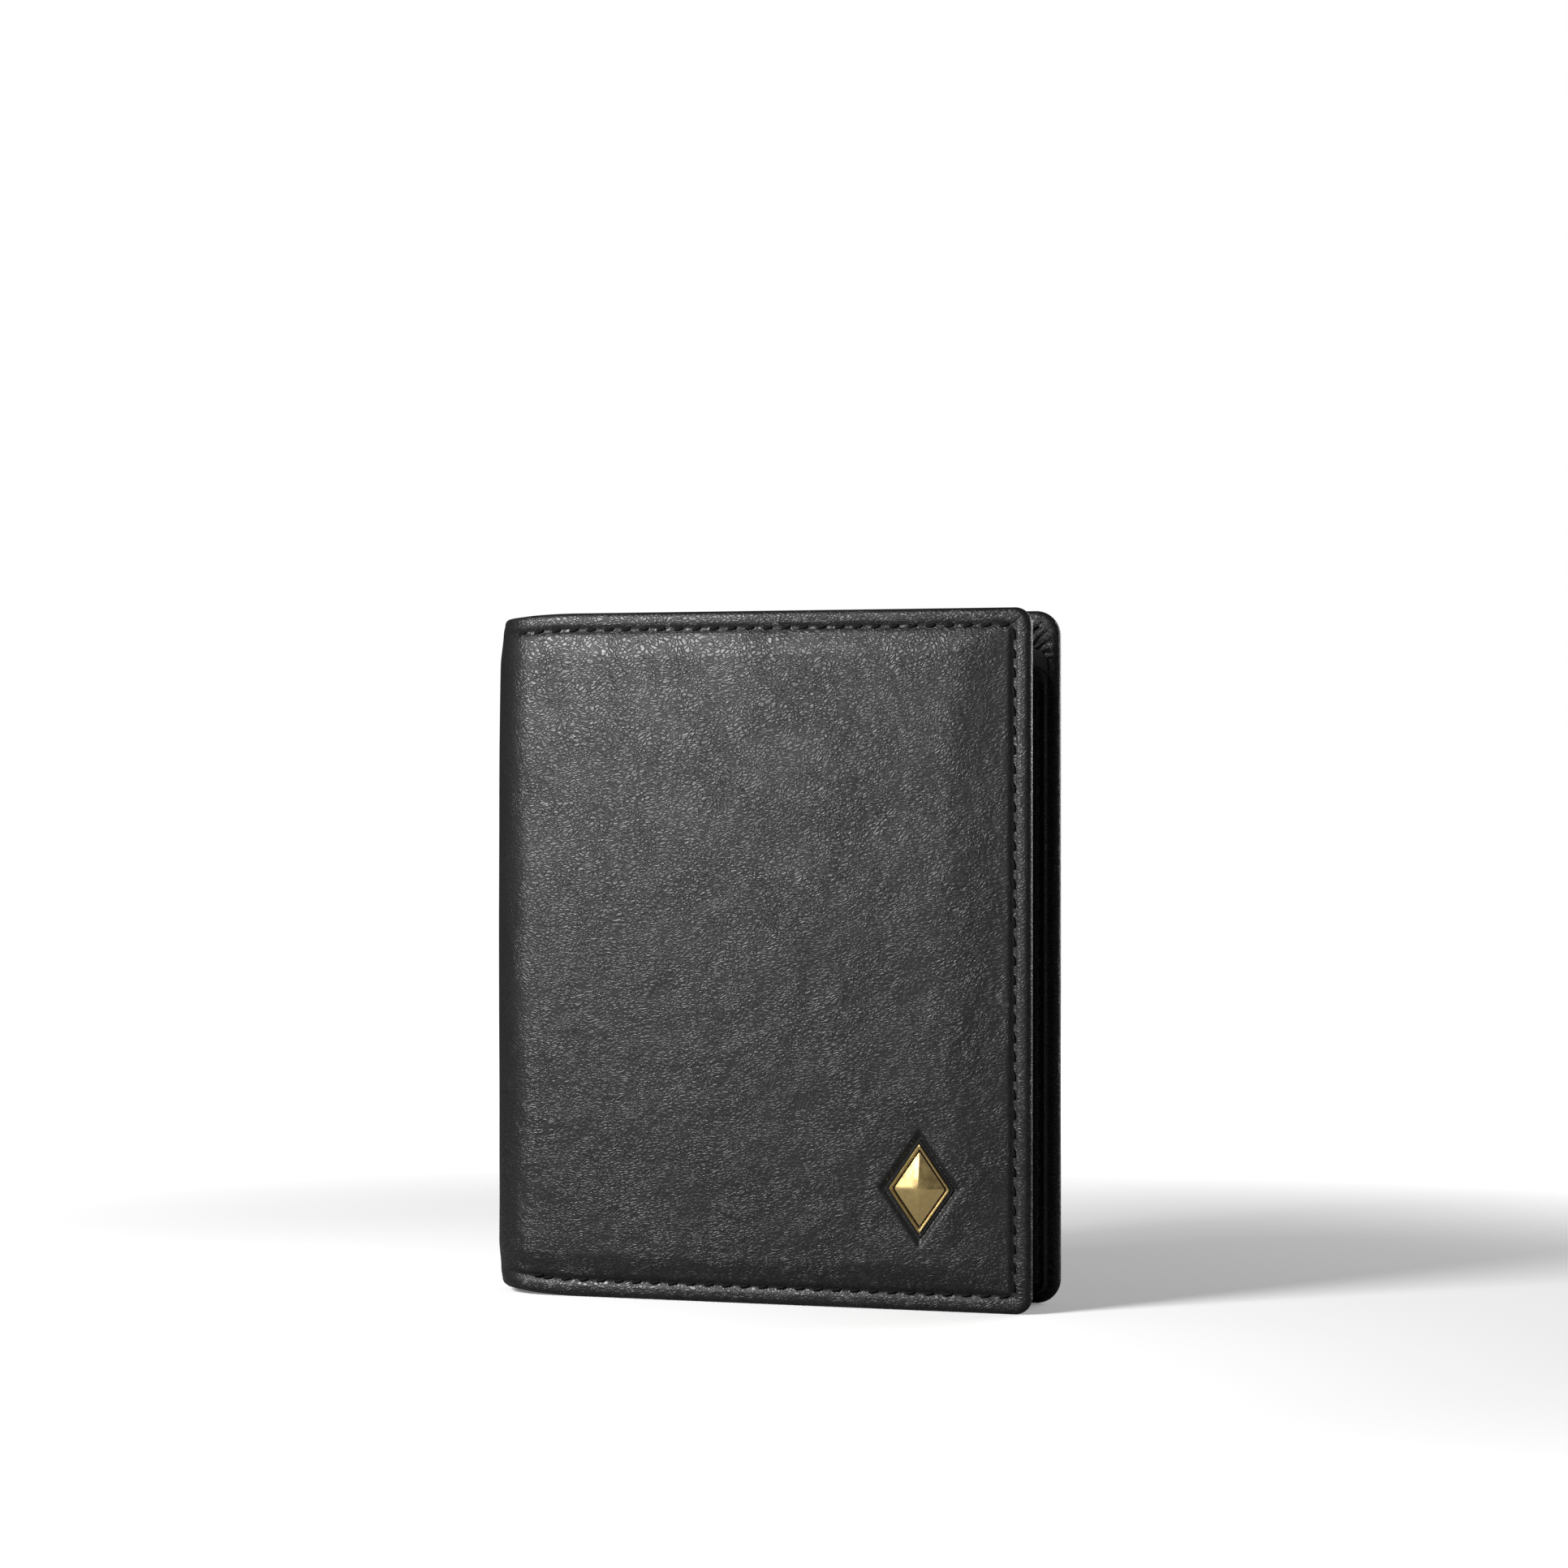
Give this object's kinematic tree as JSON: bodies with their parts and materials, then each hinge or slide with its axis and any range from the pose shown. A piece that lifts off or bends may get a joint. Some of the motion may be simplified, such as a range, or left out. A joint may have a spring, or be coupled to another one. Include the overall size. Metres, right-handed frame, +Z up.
{
  "type": "bifold wallet",
  "caption": "Portrait leather bifold wallet with padded sewn covers, soft spine, note compartments, card slots, middle page, coin pocket and a small metal lozenge.",
  "frame": {"origin": "on the floor under the middle of the closed, standing wallet", "axes": "+X towards the open side with the spine at -X; the front cover faces -Y and the back cover +Y; +Z up along the height"},
  "size_m": [0.1, 0.02, 0.12],
  "materials": {
    "outer_leather": "satin",
    "inner_leather": "semi-gloss",
    "lining_cloth": "woven",
    "board": "matte",
    "padding": "foam",
    "thread": "waxed",
    "gold_metal": "polished",
    "dark_enamel": "gloss",
    "snap_metal": "gloss",
    "steel": "satin",
    "clear_film": "clear"
  },
  "bodies": {
    "back_cover": {"back_cover_leather": "outer_leather", "back_cover_board": "board", "back_cover_padding": "padding", "back_note_lining": "lining_cloth", "back_note_divider": "lining_cloth", "back_page_leather": "inner_leather", "back_seam_thread": "thread", "back_slot_lining": "lining_cloth", "back_card_slot_1": "inner_leather", "back_card_slot_2": "inner_leather", "back_card_slot_3": "inner_leather", "back_card_slot_4": "inner_leather"},
    "spine_back_edge": {"spine_leather_back_edge": "outer_leather", "spine_lining_back_edge": "lining_cloth"},
    "spine_back_inner": {"spine_leather_back_inner": "outer_leather", "spine_lining_back_inner": "lining_cloth"},
    "spine_middle": {"spine_leather_middle": "outer_leather", "spine_lining_middle": "lining_cloth", "middle_page_binding": "inner_leather", "middle_page_core": "inner_leather", "window_frame": "inner_leather", "window_film": "clear_film", "middle_window_slot": "inner_leather", "middle_card_slot_1": "inner_leather", "middle_card_slot_2": "inner_leather", "middle_page_thread": "thread"},
    "spine_front_inner": {"spine_leather_front_inner": "outer_leather", "spine_lining_front_inner": "lining_cloth"},
    "spine_front_edge": {"spine_leather_front_edge": "outer_leather", "spine_lining_front_edge": "lining_cloth"},
    "front_cover": {"front_cover_leather": "outer_leather", "front_cover_board": "board", "front_cover_padding": "padding", "front_note_lining": "lining_cloth", "front_note_divider": "lining_cloth", "front_page_leather": "inner_leather", "front_seam_thread": "thread", "front_card_slot_1": "inner_leather", "front_card_slot_2": "inner_leather", "coin_pouch_front": "inner_leather", "coin_pouch_gusset": "inner_leather", "coin_flap_anchor": "inner_leather", "snap_stud": "steel", "snap_rivet": "steel", "ornament_plate": "gold_metal", "ornament_base": "dark_enamel", "ornament_washer": "steel"},
    "coin_flap": {"coin_flap": "inner_leather", "snap_cap": "snap_metal", "snap_socket": "steel"}
  },
  "joints": [
    {"name": "cover_fold", "type": "hinge", "parent": "back_cover", "child": "spine_middle", "pos_m": [-0.04828, 0.00828, 0], "axis": [0, 0, -1], "range_deg": [0, 90]},
    {"name": "front_fold", "type": "hinge", "parent": "spine_middle", "child": "front_cover", "pos_m": [-0.04828, -0.00828, 0], "axis": [0, 0, -1], "range_deg": [0, 90]},
    {"name": "spine_fold_1", "type": "hinge", "parent": "back_cover", "child": "spine_back_edge", "pos_m": [-0.04414, 0.01, 0], "axis": [0, 0, -1], "range_deg": [0, 45]},
    {"name": "spine_fold_2", "type": "hinge", "parent": "spine_middle", "child": "spine_back_inner", "pos_m": [-0.05, 0.00414, 0], "axis": [0, 0, 1], "range_deg": [0, 45]},
    {"name": "spine_fold_3", "type": "hinge", "parent": "spine_middle", "child": "spine_front_inner", "pos_m": [-0.05, -0.00414, 0], "axis": [0, 0, -1], "range_deg": [0, 45]},
    {"name": "spine_fold_4", "type": "hinge", "parent": "front_cover", "child": "spine_front_edge", "pos_m": [-0.04414, -0.01, 0], "axis": [0, 0, 1], "range_deg": [0, 45]},
    {"name": "coin_flap_turn", "type": "hinge", "parent": "front_cover", "child": "coin_flap", "pos_m": [0.005, -0.0031, 0.0746], "axis": [1, 0, 0], "range_deg": [0, 150]}
  ],
  "couplings": [
    {"joint": "front_fold", "follows": "cover_fold", "ratio": 1},
    {"joint": "spine_fold_1", "follows": "cover_fold", "ratio": 0.5},
    {"joint": "spine_fold_2", "follows": "cover_fold", "ratio": 0.5},
    {"joint": "spine_fold_3", "follows": "cover_fold", "ratio": 0.5},
    {"joint": "spine_fold_4", "follows": "cover_fold", "ratio": 0.5},
    {"joint": "coin_flap_turn", "follows": "cover_fold", "ratio": 1.2}
  ]
}
